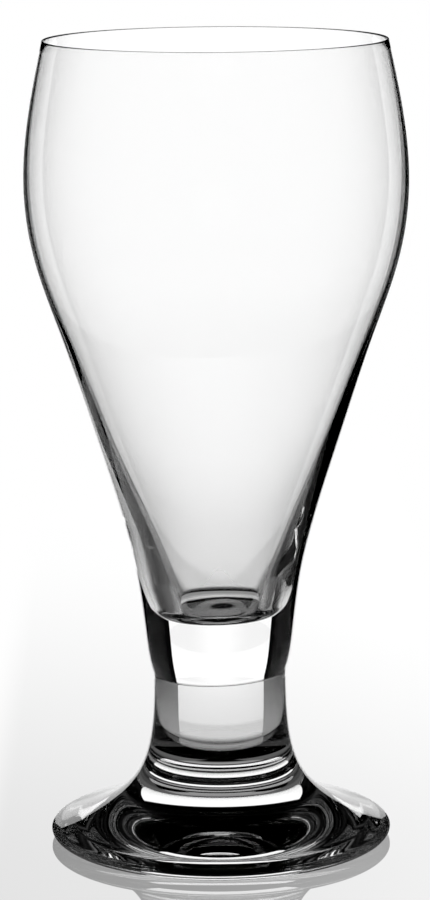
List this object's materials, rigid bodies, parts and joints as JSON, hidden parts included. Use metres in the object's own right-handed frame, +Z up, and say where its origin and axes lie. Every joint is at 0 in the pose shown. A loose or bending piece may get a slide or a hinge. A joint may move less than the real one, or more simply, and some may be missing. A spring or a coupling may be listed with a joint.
{
  "type": "pilsner glass",
  "caption": "Footed beer glass in clear glass: tulip bowl with a tall cone below, fused at a weld line onto a short thick stem that flares into a round foot.",
  "frame": {"origin": "centre of the foot's underside, on the plane that the glass stands on", "axes": "+Z up the axis of the glass, from the foot to the rim; X and Y lie level, and the glass is round, so their direction is free"},
  "size_m": [0.0878, 0.0878, 0.186],
  "materials": {
    "clear_glass": "fire-polished clear soda-lime glass, uncoloured"
  },
  "bodies": {
    "root": {"pilsner_glass": "clear_glass"}
  },
  "joints": []
}
